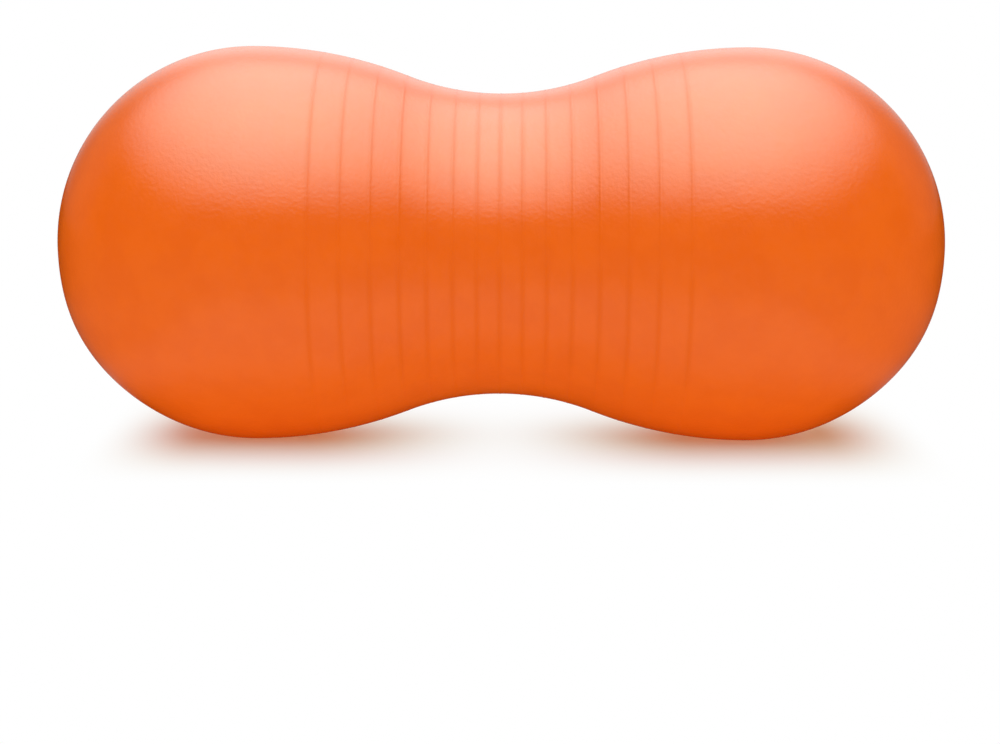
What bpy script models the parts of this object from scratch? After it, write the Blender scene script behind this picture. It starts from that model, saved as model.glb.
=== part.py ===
"""Peanut ball: a hollow, two-lobed exercise ball with a plugged air valve in one end.

Metres, +Z up. The ball lies along X with its waist at x = 0, on a floor at z = 0. Each piece is
turned about the ball's long axis, so it is modelled along its own Z and hangs on an empty that
points that way along X.
"""

import math

import bmesh
import bpy
from mathutils import Matrix

# The ball
ball_length = 0.900
lobe_diameter = 0.400
waist_depth = 0.0468  # how far the waist lies below the lobes' crowns
waist_reach = 0.0944  # from the middle to where the hollow of the waist turns into a lobe
wall = 0.0013
floor_flat = 0.050  # width of the flat that each lobe presses on the floor

# The raised rings round the waist
ring_pairs = 7  # on each side of the middle ring
ring_pitch = 0.02113
ring_pitch_growth = 0.00062  # added for each ring further out, where the skin stretches more
ring_width = 0.0036
ring_height = 0.0007

# The air plug
plug_head_diameter = 0.018
plug_head_thickness = 0.0020
plug_head_round = 0.0006
plug_stem_diameter = 0.0086
plug_stem_length = 0.026
plug_stem_wall = 0.0013
plug_tip_taper = 0.0005
plug_closed_length = 0.006  # of the stem, below the head
barb_count = 3
barb_height = 0.0006
barb_length = 0.0030
barb_pitch = 0.0045
barb_start = 0.0110  # from the head's underside

# The valve seat
seat_lip = 0.0037  # ring of seat that shows round the plug's head
seat_flange_overlap = 0.009  # of the flange behind the wall
seat_flange_thickness = 0.0020
seat_boss_wall = 0.0038
seat_boss_length = 0.020
seat_chamfer = 0.0008

fit_gap = 0.0003  # between pieces that fit together

# How finely round shapes are divided
ball_segments = 40
valve_segments = 24
lobe_step = math.radians(9)
shoulder_step = math.radians(3.8)

# Worked out from the sizes above
lobe_radius = lobe_diameter / 2
half_length = ball_length / 2
crown = half_length - lobe_radius  # where each lobe is widest
axis_height = math.sqrt(lobe_radius**2 - (floor_flat / 2) ** 2)
curves_total = (crown**2 + waist_depth**2) / (2 * waist_depth)  # two arcs that meet without a kink
waist_curve = curves_total * waist_reach / crown
shoulder_curve = curves_total - waist_curve
waist_radius = lobe_radius - waist_depth

plug_head_radius = plug_head_diameter / 2
stem_radius = plug_stem_diameter / 2
tip_radius = stem_radius - plug_tip_taper
core_radius = tip_radius - plug_stem_wall
barb_radius = stem_radius + barb_height
bore_radius = barb_radius + fit_gap
recess_radius = plug_head_radius + fit_gap
recess_floor = -plug_head_thickness - fit_gap
neck_radius = recess_radius + seat_lip
hole_radius = neck_radius + fit_gap
flange_radius = neck_radius + seat_flange_overlap
boss_radius = bore_radius + seat_boss_wall
flat_end = crown + math.sqrt(lobe_radius**2 - (flange_radius + fit_gap) ** 2)


def skin(along, lift=0.0):
    """The outline's point this far along the ball from its middle, raised by lift, as (radius, height)."""
    reach = min(abs(along), half_length)
    if reach < waist_reach:
        lean = -math.asin(reach / waist_curve)
        radius = waist_radius + waist_curve * (1 - math.cos(lean))
    elif reach < crown:
        lean = -math.asin((crown - reach) / shoulder_curve)
        radius = lobe_radius - shoulder_curve * (1 - math.cos(lean))
    else:
        lean = math.asin((reach - crown) / lobe_radius)
        radius = lobe_radius * math.cos(lean)
    outward = math.copysign(1, along)
    return radius + lift * math.cos(lean), along + outward * lift * math.sin(lean)


def beside_valve(radius, depth):
    """Height of the skin round the valve, where it runs straight from the pole to past the flange's rim."""
    rim_radius, rim_height = skin(flat_end, -depth)
    pole_height = half_length - depth
    return pole_height + (rim_height - pole_height) * radius / rim_radius


def ring_places():
    """Each ring's place along the ball, from the valve end to the other."""
    one_side = [k * (ring_pitch + ring_pitch_growth * k) for k in range(1, ring_pairs + 1)]
    return one_side[::-1] + [0.0] + [-place for place in one_side]


def lobe_places():
    """Where the outline turns over a lobe, from the outermost ring to the pole."""
    lean = math.asin((crown - waist_reach) / shoulder_curve)
    shoulder_count = math.ceil(lean / shoulder_step)
    lobe_count = math.ceil(math.radians(90) / lobe_step)
    places = [
        crown - shoulder_curve * math.sin(lean * (1 - k / shoulder_count))
        for k in range(shoulder_count)
    ]
    places += [
        crown + lobe_radius * math.sin(math.radians(90) * k / lobe_count)
        for k in range(lobe_count + 1)
    ]
    return [place for place in places if place > ring_places()[0] + 2 * ring_width]


def ball_outline(lift, ring_shape, valve_end):
    """The ball's turned outline, from its valve end to the other, with each ring as (shift, rise) points."""
    places = lobe_places()
    clear_of_valve = [place for place in places if skin(place)[0] > flange_radius + ring_width]
    outline = valve_end + [skin(flat_end, lift)]
    outline += [skin(place, lift) for place in reversed(clear_of_valve)]
    for place in ring_places():
        outline += [skin(place + shift, lift + rise) for shift, rise in ring_shape]
    return outline + [skin(-place, lift) for place in places]


def shell_outline():
    ridge = [(ring_width / 2, 0), (0, ring_height), (-ring_width / 2, 0)]
    return ball_outline(0, ridge, [(0, half_length)])


def air_outline():
    """The air space, with the hole through the wall at its valve end."""
    beyond = half_length + wall
    hole = [(0, beyond), (hole_radius, beyond), (hole_radius, beside_valve(hole_radius, wall))]
    return ball_outline(-wall, [(0, 0)], hole)


def arc(radius, height, size, start, end, steps):
    """Points round a centre, between two angles in degrees above the radial direction."""
    angles = [math.radians(start + (end - start) * k / steps) for k in range(steps + 1)]
    return [(radius + size * math.cos(a), height + size * math.sin(a)) for a in angles]


def plug_outline():
    """The plug from its crowned head down, with height 0 at the ball's pole."""
    edge = plug_head_radius - plug_head_round
    crowned = [
        (edge * share, math.sqrt(lobe_radius**2 - (edge * share) ** 2) - lobe_radius)
        for share in (0, 0.5)
    ]
    edge_height = math.sqrt(lobe_radius**2 - edge**2) - lobe_radius
    outline = crowned + arc(edge, edge_height - plug_head_round, plug_head_round, 90, 0, 3)
    outline += [(plug_head_radius, -plug_head_thickness), (stem_radius, -plug_head_thickness)]
    for k in range(barb_count):
        top = -plug_head_thickness - barb_start - k * barb_pitch
        outline += [
            (stem_radius, top),
            (barb_radius, top - barb_height),
            (stem_radius, top - barb_length),
        ]
    tip = -plug_head_thickness - plug_stem_length
    core_top = -plug_head_thickness - plug_closed_length
    outline += arc(tip_radius - plug_tip_taper, tip + plug_tip_taper, plug_tip_taper, 0, -90, 2)
    return outline + [(core_radius, tip), (core_radius, core_top), (0, core_top)]


def seat_outline():
    """The seat from its lip down, as a closed ring, with height 0 at the ball's pole."""
    lip_inner = beside_valve(recess_radius, 0) - half_length
    lip_outer = beside_valve(neck_radius, 0) - half_length
    flange_inner = beside_valve(neck_radius, wall) - half_length - fit_gap
    flange_outer = beside_valve(flange_radius, wall) - half_length - fit_gap
    boss_top = flange_inner - seat_flange_thickness
    boss_end = boss_top - seat_boss_length
    return [
        (recess_radius, lip_inner),
        (neck_radius, lip_outer),
        (neck_radius, flange_inner),
        (flange_radius, flange_outer),
        (flange_radius, flange_outer - seat_flange_thickness / 2),
        (boss_radius + seat_flange_thickness, boss_top),
        (boss_radius, boss_top - seat_flange_thickness),
        (boss_radius, boss_end + seat_chamfer),
        (boss_radius - seat_chamfer, boss_end),
        (bore_radius, boss_end),
        (bore_radius, recess_floor - seat_chamfer),
        (bore_radius + seat_chamfer, recess_floor),
        (recess_radius, recess_floor),
    ]


def clear_scene():
    for obj in list(bpy.data.objects):
        bpy.data.objects.remove(obj, do_unlink=True)
    for collection in list(bpy.data.collections):
        bpy.data.collections.remove(collection)


def new_collection(name):
    collection = bpy.data.collections.new(name)
    bpy.context.scene.collection.children.link(collection)
    return collection


def linear(level):
    """An sRGB level from 0 to 255 as linear light."""
    share = level / 255
    return share / 12.92 if share <= 0.04045 else ((share + 0.055) / 1.055) ** 2.4


def plastic(name, levels, roughness):
    material = bpy.data.materials.new(name)
    material.use_nodes = True
    colour = (*[linear(level) for level in levels], 1)
    shader = material.node_tree.nodes["Principled BSDF"]
    shader.inputs["Base Color"].default_value = colour
    shader.inputs["Roughness"].default_value = roughness
    shader.inputs["Metallic"].default_value = 0
    material.diffuse_color = colour
    return material


def turned(name, outline, segments, collection, axis, height=0.0, ring=False):
    """A solid turned about the axis from an outline of (radius, height) points."""
    count = len(outline)
    edges = [(k, k + 1) for k in range(count - 1)] + ([(count - 1, 0)] if ring else [])
    mesh = bpy.data.meshes.new(name)
    mesh.from_pydata([(radius, 0, level) for radius, level in outline], edges, [])
    obj = bpy.data.objects.new(name, mesh)
    collection.objects.link(obj)
    obj.parent = axis
    obj.location.z = height
    screw = obj.modifiers.new("turn", "SCREW")
    screw.angle = math.radians(360)
    screw.steps = screw.render_steps = segments
    screw.use_merge_vertices = True
    screw.merge_threshold = 0.0001
    return obj


def ground_block(name, top, collection):
    """A block larger than the ball, whose top is a floor at this height."""
    mesh = bpy.data.meshes.new(name)
    block = bmesh.new()
    size = (2 * ball_length, 2 * lobe_diameter, lobe_diameter)
    bmesh.ops.create_cube(block, size=1, matrix=Matrix.Diagonal((*size, 1)))
    block.to_mesh(mesh)
    block.free()
    obj = bpy.data.objects.new(name, mesh)
    obj.location.z = top - lobe_diameter / 2
    collection.objects.link(obj)
    return obj


def cut(obj, cutter):
    cutter.hide_render = True
    cutter.display_type = "WIRE"
    difference = obj.modifiers.new("cut " + cutter.name, "BOOLEAN")
    difference.operation = "DIFFERENCE"
    difference.solver = "EXACT"
    difference.object = cutter


def finish_round(obj, material):
    """Settles the modifiers into the mesh and shades it smooth between its real edges."""
    evaluated = obj.evaluated_get(bpy.context.evaluated_depsgraph_get())
    mesh = bpy.data.meshes.new_from_object(evaluated)
    obj.modifiers.clear()
    obj.data = mesh
    mesh.name = obj.name
    mesh.materials.clear()
    mesh.materials.append(material)
    mesh.shade_smooth()
    mesh.set_sharp_from_angle(angle=math.radians(20))


def long_axis(collection):
    """An empty at the ball's centre whose Z points along the ball, to the valve."""
    axis = bpy.data.objects.new("long_axis", None)
    collection.objects.link(axis)
    axis.location.z = axis_height
    axis.rotation_euler.y = math.radians(90)
    return axis


def build_shell(parts, cutters, axis):
    shell = turned("ball_shell", shell_outline(), ball_segments, parts, axis)
    air = turned("air_space", air_outline(), ball_segments, cutters, axis)
    cut(shell, ground_block("floor", 0, cutters))
    cut(air, ground_block("floor_inside", wall, cutters))
    cut(shell, air)
    return shell


def main():
    clear_scene()
    parts = new_collection("peanut_ball")
    cutters = new_collection("cutters")
    axis = long_axis(parts)
    orange = plastic("orange_pvc", (232, 96, 18), 0.4)
    white = plastic("white_plug", (232, 230, 224), 0.35)
    shell = build_shell(parts, cutters, axis)
    seat = turned("valve_seat", seat_outline(), valve_segments, parts, axis, half_length, ring=True)
    plug = turned("air_plug", plug_outline(), valve_segments, parts, axis, half_length)
    finish_round(shell, orange)
    finish_round(seat, orange)
    finish_round(plug, white)


main()
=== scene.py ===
"""Peanut ball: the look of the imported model, on a plain pale floor in soft studio light.

Metres, +Z up. The ball's long axis runs along X, at axis_height over the floor, with the valve in the
+X end. Three finer pieces stand in for the three nodes of the CAD model.
"""
import math

import bmesh
import bpy
from mathutils import Matrix, Vector


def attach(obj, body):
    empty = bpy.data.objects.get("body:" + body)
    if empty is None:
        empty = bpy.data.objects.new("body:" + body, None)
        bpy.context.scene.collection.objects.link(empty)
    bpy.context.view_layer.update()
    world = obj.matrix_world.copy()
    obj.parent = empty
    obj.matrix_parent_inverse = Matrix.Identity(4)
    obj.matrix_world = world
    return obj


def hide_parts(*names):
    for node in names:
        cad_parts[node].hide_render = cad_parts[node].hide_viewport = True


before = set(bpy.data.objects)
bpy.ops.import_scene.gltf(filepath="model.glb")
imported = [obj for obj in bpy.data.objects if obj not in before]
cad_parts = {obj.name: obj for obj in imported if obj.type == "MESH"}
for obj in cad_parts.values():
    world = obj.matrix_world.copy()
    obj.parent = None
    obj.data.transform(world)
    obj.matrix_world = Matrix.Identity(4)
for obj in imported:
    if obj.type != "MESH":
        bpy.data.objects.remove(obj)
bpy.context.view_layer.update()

# The ball, as in the CAD model
half_length = 0.450
lobe_radius = 0.200
waist_depth = 0.0468  # how far the waist lies below the lobes' crowns
waist_reach = 0.0944  # from the middle to where the hollow of the waist turns into a lobe
wall = 0.0013
floor_flat = 0.050  # width of the flat that each lobe presses on the floor
ring_pairs = 7  # on each side of the middle ring
ring_pitch = 0.02113
ring_pitch_growth = 0.00062  # added for each ring further out, where the skin stretches more

# The valve, as in the CAD model
head_radius = 0.009
head_thickness = 0.0020
head_round = 0.0006
stem_radius = 0.0043
stem_length = 0.026
stem_wall = 0.0013
tip_taper = 0.0005
closed_length = 0.006  # of the stem, below the head
barb_count = 3
barb_rise = 0.0006
barb_length = 0.0030
barb_pitch = 0.0045
barb_start = 0.0110  # from the head's underside
lip_width = 0.0037  # ring of seat that shows round the plug's head
flange_overlap = 0.009  # of the flange behind the wall
flange_thickness = 0.0020
boss_wall = 0.0038
boss_length = 0.020
seat_round = 0.0008
fit_gap = 0.0003  # between pieces that fit together

# Detail of the skin that only the visual piece has
skin_segments = 180
rib_top = 0.0003  # half the width of a rib's flat top
rib_foot = 0.0018  # half the width of a rib where it meets the skin
rib_height = 0.00015
flank_steps = 5  # on each side of a rib
between_steps = 4  # from one rib to the next
shoulder_step = 0.005
lobe_steps = 64  # from a lobe's crown to the ball's end
inner_stride = 5  # the inside of the wall takes one in so many of the places outside it
sag = 0.0028  # the most that the lower half bulges under the ball's weight
contact_round = 0.0008  # how softly the skin meets the floor
hole_clearance = 0.0012  # past the hole, kept free of the lobe's own outline points
hole_bevel = 0.0004
hole_drop = 0.0003  # of the hole's edge, below the lobe
pole_radius = 1e-7  # an outline point with less than this is one on the axis

# Detail of the valve that only the visual pieces have
valve_segments = 96
lip_round = 0.0005
flange_round = 0.0003
boss_foot = 0.0006  # fillet of the boss under the flange
small_bevel = 0.0002
recess_round = 0.0005
head_steps = 12  # from the head's middle to its rounded edge
head_bevel = 0.0003  # of the head's underside
lip_steps = 6  # round each edge of the lip, and of the head
seat_steps = 5  # round each edge of the boss and the bore
dimple_depth = 0.0005
dimple_radius = 0.0042
stem_fillet = ((0.0006, 0), (0.0002, 0.0002), (0, 0.0007))  # out from the stem, down from the head
barb_round = 0.0003
barb_turn = (60, -20)  # angles in degrees between which the barb's edge is round
barb_steps = 3
barb_flat = 0.7  # share of the barb's rise that is its flat top side
barb_lean = 0.00015  # how far that side leans down
tip_round = 0.0005
tip_steps = 4
core_taper = (0.7, 0.0006)  # share of the core's radius that is left at its end, and the taper's length

# Colours of the pieces, in levels from 0 to 255, each a pair that the mottling runs between
skin_colours = (231, 93, 0), (234, 96, 1)
plug_colours = (229, 227, 220), (234, 232, 226)
mottle_span = (0.35, 0.65)

# The gloss of the pieces, with a pair of roughnesses that each piece varies between
skin_roughness = (0.19, 0.22)
skin_shine = 0.5
skin_ior = 1.53
plug_roughness = (0.38, 0.42)
roughness_span = (0.3, 0.7)

# Painted shade along each ring: a band of darker colour and less gloss, standing in for the shade and dimmed
# reflections along the ribs, not a colour of the skin
ring_shade_colour = (220, 87, 0)
ring_shade_colour_share = 0.25
ring_haze = 0.0048  # half the width of the band
ring_shine_loss = 0.11
# Heights over the floor across which the painted band's strength changes, and the factors below and above:
# it is painted strongest on the lower half, where the skin mirrors the floor
ring_strengths = ((0.24, 0.28), (0.66, 1)), ((0.178, 0.215), (3, 1)), ((0.07, 0.11), (0.2, 1))

# The floor in the ball's reflections: distances across which it changes, and its levels
mirror_start = (0.13, 0.25)
mirror_level = 0.28
mirror_far = (0.35, 0.95)
mirror_sides = (0.37, 0.55)
mirror_side_share = 0.2

# The floor, and how it lights the ball
floor_half_width = 12
floor_level = 0.15
glow_span = (0.05, 0.32)
glow_near_lobe = (1.07, 0.75, 0.5)
glow_far = (0.99, 1.0, 1.0)

# The floor's shadow as the camera sees it: distances across which its share changes, and its colours
shadow_middle = 0.0135
shadow_waist = (0, 0.197)
shadow_waist_share = 0.147
shadow_ends = (0.319, 0.436)
shadow_width = (0, 0.214)
shadow_back = (-0.05, 0.182)
shadow_back_sides = (0.3, 0.34)
shadow_core_width = (0.025, 0.128)
shadow_core_ends = (0.25, 0.374)
shadow_core_colour = (0.69, 1.2, 0.8)
shadow_edge_colour = (0.72, 0.72, 0.57)

# The room that lights the ball
room_level = 0.55
room_rise = 1.25  # added straight up
room_tint = (0.88, 1, 1)  # straight up

# The softbox overhead, in reflections: its edges, as slopes away from straight up
softbox_level = 7.9
softbox_tint = (0.25, 1.06, 1)
softbox_sides = (-0.3, 1.86)
softbox_front = (-2.3, 0.2)
softbox_back = (-0.49, 1.95)
least_rise = 0.02  # of a direction, where its slope is worked out

# The pale backdrop, in reflections: parts of a direction across which it changes
backdrop_level = 1.47
backdrop_start = (0.1, 0.4)
backdrop_sides = (0.17, 0.65)
backdrop_side_share = 0.12
backdrop_foot = (-0.1, 0.5)
backdrop_foot_share = 0.4

# Worked out from the sizes above
crown = half_length - lobe_radius
axis_height = math.sqrt(lobe_radius**2 - (floor_flat / 2) ** 2)
curves_total = (crown**2 + waist_depth**2) / (2 * waist_depth)
waist_curve = curves_total * waist_reach / crown
shoulder_curve = curves_total - waist_curve
waist_radius = lobe_radius - waist_depth
recess_radius = head_radius + fit_gap
neck_radius = recess_radius + lip_width
hole_radius = neck_radius + fit_gap
flange_radius = neck_radius + flange_overlap
bore_radius = stem_radius + barb_rise + fit_gap
boss_radius = bore_radius + boss_wall
head_underside = half_length - head_thickness


def skin(along, lift=0.0):
    """Radius and place of the skin's outline at a place along the ball, raised by lift."""
    reach = min(abs(along), half_length)
    if reach < waist_reach:
        lean = -math.asin(reach / waist_curve)
        radius = waist_radius + waist_curve * (1 - math.cos(lean))
    elif reach < crown:
        lean = -math.asin((crown - reach) / shoulder_curve)
        radius = lobe_radius - shoulder_curve * (1 - math.cos(lean))
    else:
        lean = math.asin((reach - crown) / lobe_radius)
        radius = lobe_radius * math.cos(lean)
    outward = math.copysign(1, along)
    return radius + lift * math.cos(lean), along + outward * lift * math.sin(lean)


def on_lobe(radius, depth=0.0):
    """Place along the ball of the valve-end lobe at this distance from the long axis, or depth inside it."""
    return crown + math.sqrt((lobe_radius - depth) ** 2 - radius**2)


def ring_places():
    """Places of the rings along the ball, from end to end."""
    one_side = [k * (ring_pitch + ring_pitch_growth * k) for k in range(1, ring_pairs + 1)]
    return [-place for place in one_side[::-1]] + [0.0] + one_side


def rib_lift(along):
    """Height over the skin of the nearest rib, which has a flat top and rounded flanks."""
    nearest = min(abs(along - place) for place in ring_places())
    down = (nearest - rib_top) / (rib_foot - rib_top)
    if down >= 1:
        return 0.0
    return rib_height * math.cos(math.pi / 2 * max(0, down)) ** 2


def outline_places():
    """Places along the ball where the outline turns, close together over the ribs."""
    rings = ring_places()
    places = []
    flank = [rib_top + (rib_foot - rib_top) * k / flank_steps for k in range(flank_steps + 1)]
    across_rib = [-step for step in flank[::-1]] + [0.0] + flank
    for k, ring in enumerate(rings):
        places += [ring + step for step in across_rib]
        if k + 1 < len(rings):
            start, end = ring + rib_foot, rings[k + 1] - rib_foot
            places += [start + (end - start) * step / between_steps for step in range(1, between_steps)]
    outer = rings[-1] + rib_foot
    steps = math.ceil((crown - outer) / shoulder_step)
    shoulder = [outer + (crown - outer) * k / steps for k in range(1, steps)]
    turns = [math.radians(90 * k / lobe_steps) for k in range(lobe_steps + 1)]
    side = shoulder + [crown + lobe_radius * math.sin(turn) for turn in turns]
    return [-place for place in side[::-1]] + places + side


def arc(radius, height, size, start, end, steps):
    """Points of a round edge of this size about (radius, height), between two angles in degrees."""
    angles = [math.radians(start + (end - start) * k / steps) for k in range(steps + 1)]
    return [(radius + size * math.cos(a), height + size * math.sin(a)) for a in angles]


def turned_mesh(name, outline, segments, closed):
    """A mesh turned about the ball's long axis from (radius, place) points, those on the axis as poles."""
    mesh = bpy.data.meshes.new(name)
    build = bmesh.new()
    turns = [2 * math.pi * k / segments for k in range(segments)]
    loops = []
    for radius, place in outline:
        points = [(place, radius * math.cos(turn), radius * math.sin(turn)) for turn in turns]
        if radius < pole_radius:
            points = [(place, 0, 0)]
        loops.append([build.verts.new(point) for point in points])
    pairs = list(zip(loops, loops[1:]))
    if closed:
        pairs.append((loops[-1], loops[0]))
    for one, two in pairs:
        for k in range(segments):
            n = (k + 1) % segments
            corners = [one[k % len(one)], one[n % len(one)], two[n % len(two)], two[k % len(two)]]
            corners = list(dict.fromkeys(corners))
            if len(corners) > 2:
                build.faces.new(corners)
    bmesh.ops.recalc_face_normals(build, faces=build.faces)
    build.to_mesh(mesh)
    build.free()
    mesh.shade_smooth()
    obj = bpy.data.objects.new(name, mesh)
    bpy.context.scene.collection.objects.link(obj)
    return obj


def clear_of_hole(outline):
    """The points of a skin outline that stay clear of the hole for the valve."""
    nearest = hole_radius + hole_clearance
    return [(radius, along) for radius, along in outline if along <= 0 or radius >= nearest]


def settle(vert, lowest):
    """Sinks a point of the skin under the ball's weight: the lower half bulges, the floor flattens it."""
    past_crown = math.copysign(max(0, abs(vert.co.x) - crown), vert.co.x)
    from_axis = Vector((past_crown, vert.co.y, vert.co.z))
    low = min(1, max(0, -vert.co.z / lobe_radius))
    if from_axis.length > 0:
        bulge = sag * math.sin(math.pi * low) ** 2 / from_axis.length
        vert.co.x += bulge * from_axis.x
        vert.co.y += bulge * from_axis.y
    over = vert.co.z + axis_height - lowest
    vert.co.z = lowest + (over + math.sqrt(over**2 + contact_round**2)) / 2


def build_skin():
    """The one-piece skin with its wall, open at the valve, and flat where it lies on the floor."""
    places = outline_places()
    outer = clear_of_hole([skin(place, rib_lift(place)) for place in places])
    rim = hole_radius + hole_bevel
    outer += [(rim, on_lobe(rim)), (hole_radius, on_lobe(hole_radius) - hole_drop)]
    off_ribs = [place for place in places if rib_lift(place) == 0]
    inner = clear_of_hole([skin(place, -wall) for place in off_ribs[::inner_stride]])
    inner.append((hole_radius, on_lobe(hole_radius, wall)))
    obj = turned_mesh("ball_skin", outer + inner[::-1], skin_segments, False)
    outer_count = sum(1 if radius < pole_radius else skin_segments for radius, _ in outer)
    for vert in obj.data.vertices:
        settle(vert, 0 if vert.index < outer_count else wall)
    return obj


def build_seat():
    """The moulded valve seat: rounded lip, recess, bored boss and the flange bonded inside the wall."""
    floor = head_underside - fit_gap
    under_wall = on_lobe(neck_radius, wall) - fit_gap
    flange_rim = on_lobe(flange_radius, wall) - fit_gap
    boss_top = under_wall - flange_thickness
    boss_end = boss_top - boss_length
    lip_in = recess_radius + lip_round
    lip_out = neck_radius - lip_round
    outline = arc(lip_in, on_lobe(lip_in) - lip_round, lip_round, 180, 90, lip_steps)
    outline += arc(lip_out, on_lobe(lip_out) - lip_round, lip_round, 90, 0, lip_steps)
    outline += [(neck_radius, under_wall), (flange_radius - flange_round, flange_rim)]
    outline += [(flange_radius, flange_rim - down) for down in (flange_round, flange_thickness / 2)]
    outline += [(boss_radius + flange_thickness, boss_top), (boss_radius + boss_foot, boss_top - seat_round)]
    outline += [(boss_radius, boss_top - flange_thickness)]
    outline += arc(boss_radius - seat_round, boss_end + seat_round, seat_round, 0, -90, seat_steps)
    outline += [(bore_radius + small_bevel, boss_end), (bore_radius, boss_end + small_bevel)]
    outline += arc(bore_radius + seat_round, floor - seat_round, seat_round, 180, 90, seat_steps)
    outline += [(recess_radius - recess_round, floor), (recess_radius, floor + recess_round)]
    obj = turned_mesh("valve_seat_moulding", outline, valve_segments, True)
    obj.data.transform(Matrix.Translation((0, 0, axis_height)))
    return obj


def plug_head():
    """Outline of the plug's crowned head, from the dimple in its middle to its underside."""
    edge = head_radius - head_round
    outline = []
    for k in range(head_steps + 1):
        radius = edge * k / head_steps
        dimple = dimple_depth * math.cos(math.pi / 2 * min(1, radius / dimple_radius)) ** 2
        outline.append((radius, on_lobe(radius) - dimple))
    outline += arc(edge, on_lobe(edge) - head_round, head_round, 90, 0, lip_steps)[1:]
    return outline + [(head_radius, head_underside + head_bevel), (head_radius - head_bevel, head_underside)]


def plug_barb(top):
    """Outline of one barb of the plug's stem, downwards from its top."""
    outline = [(stem_radius, top), (stem_radius + barb_flat * barb_rise, top - barb_lean)]
    middle = (stem_radius + barb_rise - barb_round, top - 2 * barb_round)
    outline += arc(*middle, barb_round, *barb_turn, barb_steps)
    return outline + [(stem_radius, top - barb_length)]


def build_plug():
    """The stopper: crowned head with a dimple, hollow stem and its barbs."""
    outline = plug_head()
    outline += [(stem_radius + out, head_underside - down) for out, down in stem_fillet]
    for k in range(barb_count):
        outline += plug_barb(head_underside - barb_start - k * barb_pitch)
    tip = head_underside - stem_length
    outline += arc(stem_radius - tip_taper - tip_round, tip + tip_round, tip_round, 0, -90, tip_steps)
    core = stem_radius - tip_taper - stem_wall
    core_end = head_underside - closed_length
    end_share, taper = core_taper
    outline += [(core + small_bevel, tip), (core, tip + small_bevel), (core, core_end - taper)]
    outline += [(core * end_share, core_end), (0, core_end)]
    obj = turned_mesh("air_plug_moulding", outline, valve_segments, False)
    obj.data.transform(Matrix.Translation((0, 0, axis_height)))
    return obj


def linear(levels):
    """Linear colour of three levels from 0 to 255."""
    shares = [level / 255 for level in levels]
    return tuple(share / 12.92 if share <= 0.04045 else ((share + 0.055) / 1.055) ** 2.4 for share in shares)


def feed(tree, socket, value):
    """Sets a socket to a number or a colour, or links it to another node's output."""
    if isinstance(value, (int, float)):
        socket.default_value = value
    elif isinstance(value, tuple):
        socket.default_value = (*value, 1)
    else:
        tree.links.new(value, socket)


def math_node(tree, operation, *values):
    """The result of a maths operation on numbers or on other nodes' outputs."""
    made = tree.nodes.new("ShaderNodeMath")
    made.operation = operation
    for socket, value in zip(made.inputs, values):
        feed(tree, socket, value)
    return made.outputs[0]


def product(tree, first, *others):
    """All the values multiplied together."""
    for other in others:
        first = math_node(tree, "MULTIPLY", first, other)
    return first


def blend(tree, factor, one, two):
    """A value that runs from one to two with the factor."""
    return math_node(tree, "MULTIPLY_ADD", factor, math_node(tree, "SUBTRACT", two, one), one)


def smooth_between(tree, value, span, ends=(0, 1)):
    """A value that runs softly from one end to the other as the first value crosses the span."""
    made = tree.nodes.new("ShaderNodeMapRange")
    made.interpolation_type = "SMOOTHSTEP"
    for name, entry in zip(("Value", "From Min", "From Max", "To Min", "To Max"), (value, *span, *ends)):
        feed(tree, made.inputs[name], entry)
    return made.outputs["Result"]


def colour_by(tree, factor, low, high):
    """A colour that runs from low to high with the factor."""
    made = tree.nodes.new("ShaderNodeMix")
    made.data_type = "RGBA"
    made.clamp_result = False
    for name, colour in (("A", low), ("B", high)):
        socket = next(entry for entry in made.inputs if entry.name == name and entry.type == "RGBA")
        feed(tree, socket, colour)
    tree.links.new(factor, made.inputs["Factor"])
    return next(entry for entry in made.outputs if entry.type == "RGBA")


def noise(tree, coords, scale, detail, roughness=0.5):
    """A noise pattern over the piece, with its scale per metre."""
    made = tree.nodes.new("ShaderNodeTexNoise")
    for name, value in (("Vector", coords), ("Scale", scale), ("Detail", detail), ("Roughness", roughness)):
        feed(tree, made.inputs[name], value)
    return made.outputs["Fac"]


def bump(tree, height, strength, distance):
    """Normals raised by the height."""
    made = tree.nodes.new("ShaderNodeBump")
    for name, value in (("Height", height), ("Strength", strength), ("Distance", distance)):
        feed(tree, made.inputs[name], value)
    return made.outputs["Normal"]


def new_material(name):
    """A material, its node tree, its Principled shader's inputs and the piece's own coordinates."""
    material = bpy.data.materials.new(name)
    material.use_nodes = True
    tree = material.node_tree
    coords = tree.nodes.new("ShaderNodeTexCoord").outputs["Object"]
    return material, tree, tree.nodes["Principled BSDF"].inputs, coords


def ring_share(tree, along):
    """1 on a ring's middle, falling softly to 0 beside it, from the place along the ball."""
    reach = math_node(tree, "ABSOLUTE", along)
    under_root = math_node(tree, "MULTIPLY_ADD", reach, 4 * ring_pitch_growth, ring_pitch**2)
    spacing = math_node(tree, "SQRT", under_root)
    ring = math_node(tree, "DIVIDE", math_node(tree, "SUBTRACT", spacing, ring_pitch), 2 * ring_pitch_growth)
    nearest = math_node(tree, "MINIMUM", math_node(tree, "ROUND", ring), ring_pairs)
    off_ring = math_node(tree, "ABSOLUTE", math_node(tree, "SUBTRACT", ring, nearest))
    return smooth_between(tree, product(tree, off_ring, spacing), (0, ring_haze), (1, 0))


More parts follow.
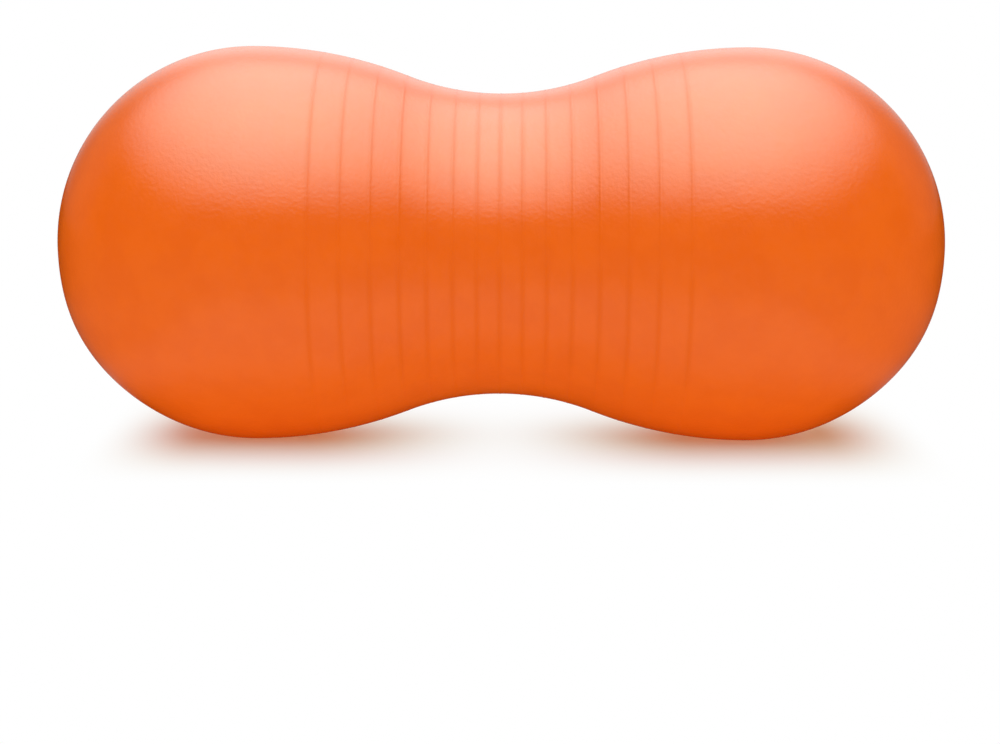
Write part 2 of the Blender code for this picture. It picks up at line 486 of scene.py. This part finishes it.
def pvc_material():
    """Satin orange PVC: fine moulded grain, faint mottling of colour and gloss, and painted shade along the
    rings, strongest on the lower half.
    """
    material, tree, inputs, coords = new_material("orange_pvc_skin")
    place = tree.nodes.new("ShaderNodeSeparateXYZ")
    tree.links.new(coords, place.inputs[0])
    along, _, height = place.outputs
    strengths = [smooth_between(tree, height, span, ends) for span, ends in ring_strengths]
    on_ring = product(tree, ring_share(tree, along), *strengths)
    mottle = smooth_between(tree, noise(tree, coords, scale=26, detail=4, roughness=0.55), mottle_span)
    clean = colour_by(tree, mottle, *map(linear, skin_colours))
    # Painted shade along the rings: a darker colour in the band, strongest on the lower half
    ring_shade = product(tree, on_ring, ring_shade_colour_share)
    swell = noise(tree, coords, scale=110, detail=2)
    grain = noise(tree, coords, scale=260, detail=2)
    feed(tree, inputs["Base Color"], colour_by(tree, ring_shade, clean, linear(ring_shade_colour)))
    # Painted shade along the rings: less gloss in the band, which dims the reflections there, most where the
    # skin mirrors the floor
    shine = math_node(tree, "MULTIPLY_ADD", on_ring, -ring_shine_loss, skin_shine)
    feed(tree, inputs["Specular IOR Level"], shine)
    feed(tree, inputs["Roughness"], smooth_between(tree, swell, roughness_span, skin_roughness))
    feed(tree, inputs["Normal"], bump(tree, grain, strength=1.0, distance=0.0002))
    feed(tree, inputs["IOR"], skin_ior)
    return material


def plug_material():
    """White plug plastic with a faint moulding grain."""
    material, tree, inputs, coords = new_material("white_plug_plastic")
    patches = noise(tree, coords, scale=300, detail=3)
    grain = noise(tree, coords, scale=2600, detail=2)
    mottle = smooth_between(tree, patches, mottle_span)
    feed(tree, inputs["Base Color"], colour_by(tree, mottle, *map(linear, plug_colours)))
    feed(tree, inputs["Roughness"], smooth_between(tree, patches, roughness_span, plug_roughness))
    feed(tree, inputs["Normal"], bump(tree, grain, strength=0.3, distance=0.00003))
    return material


def shader_node(tree, kind, **values):
    """A shader with some of its inputs fed."""
    made = tree.nodes.new(kind)
    for name, value in values.items():
        feed(tree, made.inputs[name], value)
    return made.outputs[0]


def mixed(tree, factor, one, two):
    """Shader one where the factor is 0, and two where it is 1."""
    made = tree.nodes.new("ShaderNodeMixShader")
    for socket, value in zip(made.inputs, (factor, one, two)):
        feed(tree, socket, value)
    return made.outputs[0]


def length(tree, across, along):
    """Length of a step on the floor."""
    step = tree.nodes.new("ShaderNodeCombineXYZ")
    feed(tree, step.inputs["X"], across)
    feed(tree, step.inputs["Y"], along)
    made = tree.nodes.new("ShaderNodeVectorMath")
    made.operation = "LENGTH"
    tree.links.new(step.outputs[0], made.inputs[0])
    return made.outputs["Value"]


def floor_to_ball(tree, glossy, x, y):
    """The floor as it lights the ball, and as the ball mirrors it: only a band round the ball is pale."""
    aside = math_node(tree, "ABSOLUTE", x)
    past_crown = math_node(tree, "SUBTRACT", aside, crown)
    from_axis = length(tree, math_node(tree, "MAXIMUM", past_crown, 0), y)
    mirrored = product(
        tree,
        smooth_between(tree, from_axis, mirror_start, (0, mirror_level)),
        smooth_between(tree, from_axis, mirror_far, (1, 0)),
        smooth_between(tree, aside, mirror_sides, (1, mirror_side_share)),
    )
    off_lobe = smooth_between(tree, length(tree, past_crown, y), glow_span)
    glow = shader_node(tree, "ShaderNodeEmission", Color=colour_by(tree, off_lobe, glow_near_lobe, glow_far))
    backlit = tree.nodes.new("ShaderNodeAddShader")
    matt = shader_node(tree, "ShaderNodeBsdfDiffuse", Color=(floor_level, floor_level, floor_level))
    tree.links.new(matt, backlit.inputs[0])
    tree.links.new(glow, backlit.inputs[1])
    mirror = shader_node(tree, "ShaderNodeBsdfDiffuse", Color=mirrored)
    return mixed(tree, glossy, backlit.outputs[0], mirror)


def floor_to_camera(tree, x, y):
    """The floor as the camera sees it: white, with a share of the ball's shadow that fades by place."""
    aside = math_node(tree, "ABSOLUTE", x)
    off_middle = math_node(tree, "ABSOLUTE", math_node(tree, "SUBTRACT", x, shadow_middle))
    off_line = math_node(tree, "ABSOLUTE", y)
    back_middle = smooth_between(tree, aside, shadow_back_sides, (1, 0))
    behind = product(tree, smooth_between(tree, y, shadow_back), back_middle)
    share = product(
        tree,
        smooth_between(tree, aside, shadow_waist, (shadow_waist_share, 1)),
        smooth_between(tree, off_middle, shadow_ends, (1, 0)),
        smooth_between(tree, off_line, shadow_width, (1, 0)),
        math_node(tree, "SUBTRACT", 1, behind),
    )
    core = product(
        tree,
        smooth_between(tree, off_line, shadow_core_width, (1, 0)),
        smooth_between(tree, off_middle, shadow_core_ends, (1, 0)),
    )
    colour = colour_by(tree, core, shadow_edge_colour, shadow_core_colour)
    bright = shader_node(tree, "ShaderNodeEmission", Color=(1, 1, 1))
    return mixed(tree, share, bright, shader_node(tree, "ShaderNodeBsdfDiffuse", Color=colour))


def build_floor():
    """A plain floor: white to the camera apart from the ball's shadow, with its own levels for the ball."""
    square = ((-1, -1), (1, -1), (1, 1), (-1, 1))
    corners = [(across * floor_half_width, along * floor_half_width, 0) for across, along in square]
    mesh = bpy.data.meshes.new("floor")
    mesh.from_pydata(corners, [], [(0, 1, 2, 3)])
    floor = bpy.data.objects.new("floor", mesh)
    bpy.context.scene.collection.objects.link(floor)
    material = bpy.data.materials.new("white_floor")
    material.use_nodes = True
    tree = material.node_tree
    tree.nodes.clear()
    output = tree.nodes.new("ShaderNodeOutputMaterial")
    path = tree.nodes.new("ShaderNodeLightPath").outputs
    place = tree.nodes.new("ShaderNodeSeparateXYZ")
    tree.links.new(tree.nodes.new("ShaderNodeTexCoord").outputs["Object"], place.inputs[0])
    x, y, _ = place.outputs
    to_ball = floor_to_ball(tree, path["Is Glossy Ray"], x, y)
    to_camera = floor_to_camera(tree, x, y)
    tree.links.new(mixed(tree, path["Is Camera Ray"], to_ball, to_camera), output.inputs["Surface"])
    mesh.materials.append(material)


def build_world():
    """Soft studio light: an even pale room, and in reflections a wide softbox and a pale backdrop."""
    world = bpy.data.worlds.new("studio")
    bpy.context.scene.world = world
    world.use_nodes = True
    world.cycles.sampling_method = "NONE"
    tree = world.node_tree
    tree.nodes.clear()
    output = tree.nodes.new("ShaderNodeOutputWorld")
    path = tree.nodes.new("ShaderNodeLightPath").outputs
    direction = tree.nodes.new("ShaderNodeSeparateXYZ")
    tree.links.new(tree.nodes.new("ShaderNodeTexCoord").outputs["Generated"], direction.inputs[0])
    x, y, z = direction.outputs
    up = math_node(tree, "MAXIMUM", z, least_rise)
    across = math_node(tree, "ABSOLUTE", math_node(tree, "DIVIDE", x, up))
    back = math_node(tree, "DIVIDE", y, up)
    box = product(
        tree,
        smooth_between(tree, across, softbox_sides, (1, 0)),
        smooth_between(tree, back, softbox_front),
        smooth_between(tree, back, softbox_back, (1, 0)),
    )
    backdrop = product(
        tree,
        smooth_between(tree, math_node(tree, "ABSOLUTE", x), backdrop_sides, (1, backdrop_side_share)),
        smooth_between(tree, z, backdrop_foot, (backdrop_foot_share, 1)),
        smooth_between(tree, y, backdrop_start, (0, backdrop_level)),
    )
    reflected = math_node(tree, "MAXIMUM", product(tree, box, softbox_level), backdrop)
    room = math_node(tree, "MULTIPLY_ADD", z, room_rise, room_level)
    to_ball = blend(tree, path["Is Glossy Ray"], room, reflected)
    level = blend(tree, path["Is Camera Ray"], to_ball, 1)
    plain = (1, 1, 1)
    room_colour = colour_by(tree, z, plain, room_tint)
    box_colour = colour_by(tree, box, plain, softbox_tint)
    colour = colour_by(tree, path["Is Glossy Ray"], room_colour, box_colour)
    colour = colour_by(tree, path["Is Camera Ray"], colour, plain)
    background = shader_node(tree, "ShaderNodeBackground", Color=colour, Strength=level)
    tree.links.new(background, output.inputs["Surface"])


def build_camera():
    """The camera at the photograph's viewing angle."""
    distance = 1.883
    elevation = math.radians(8)
    below_centre = math.radians(3.99)
    turn = math.radians(0.44)
    roll = math.radians(-0.141)
    aside = math.radians(0.0246)
    sensor_width = 36
    focal_share = 1.8292  # focal length over the sensor's width
    data = bpy.data.cameras.new("camera")
    data.sensor_width = sensor_width
    data.lens = sensor_width * focal_share
    data.clip_start = 0.05
    data.clip_end = 60
    camera = bpy.data.objects.new("camera", data)
    bpy.context.scene.collection.objects.link(camera)
    place = Vector((0, -distance * math.cos(elevation), distance * math.sin(elevation)))
    centre = Matrix.Translation((0, 0, axis_height))
    orbit = Matrix.Rotation(roll, 4, "Y") @ Matrix.Rotation(turn, 4, "Z")
    tilt = Matrix.Rotation(math.pi / 2 - elevation - below_centre, 4, "X")
    camera.matrix_world = centre @ orbit @ Matrix.Translation(place) @ Matrix.Rotation(aside, 4, "Z") @ tilt
    bpy.context.scene.camera = camera


scene = bpy.context.scene
scene.view_settings.view_transform = "Standard"

orange = pvc_material()
white = plug_material()

skin_piece = build_skin()
skin_piece.data.materials.append(orange)
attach(skin_piece, "ball")
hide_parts("ball_shell")

seat_piece = build_seat()
seat_piece.data.materials.append(orange)
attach(seat_piece, "ball")
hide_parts("valve_seat")

plug_piece = build_plug()
plug_piece.data.materials.append(white)
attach(plug_piece, "plug")
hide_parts("air_plug")

build_floor()
build_world()
build_camera()
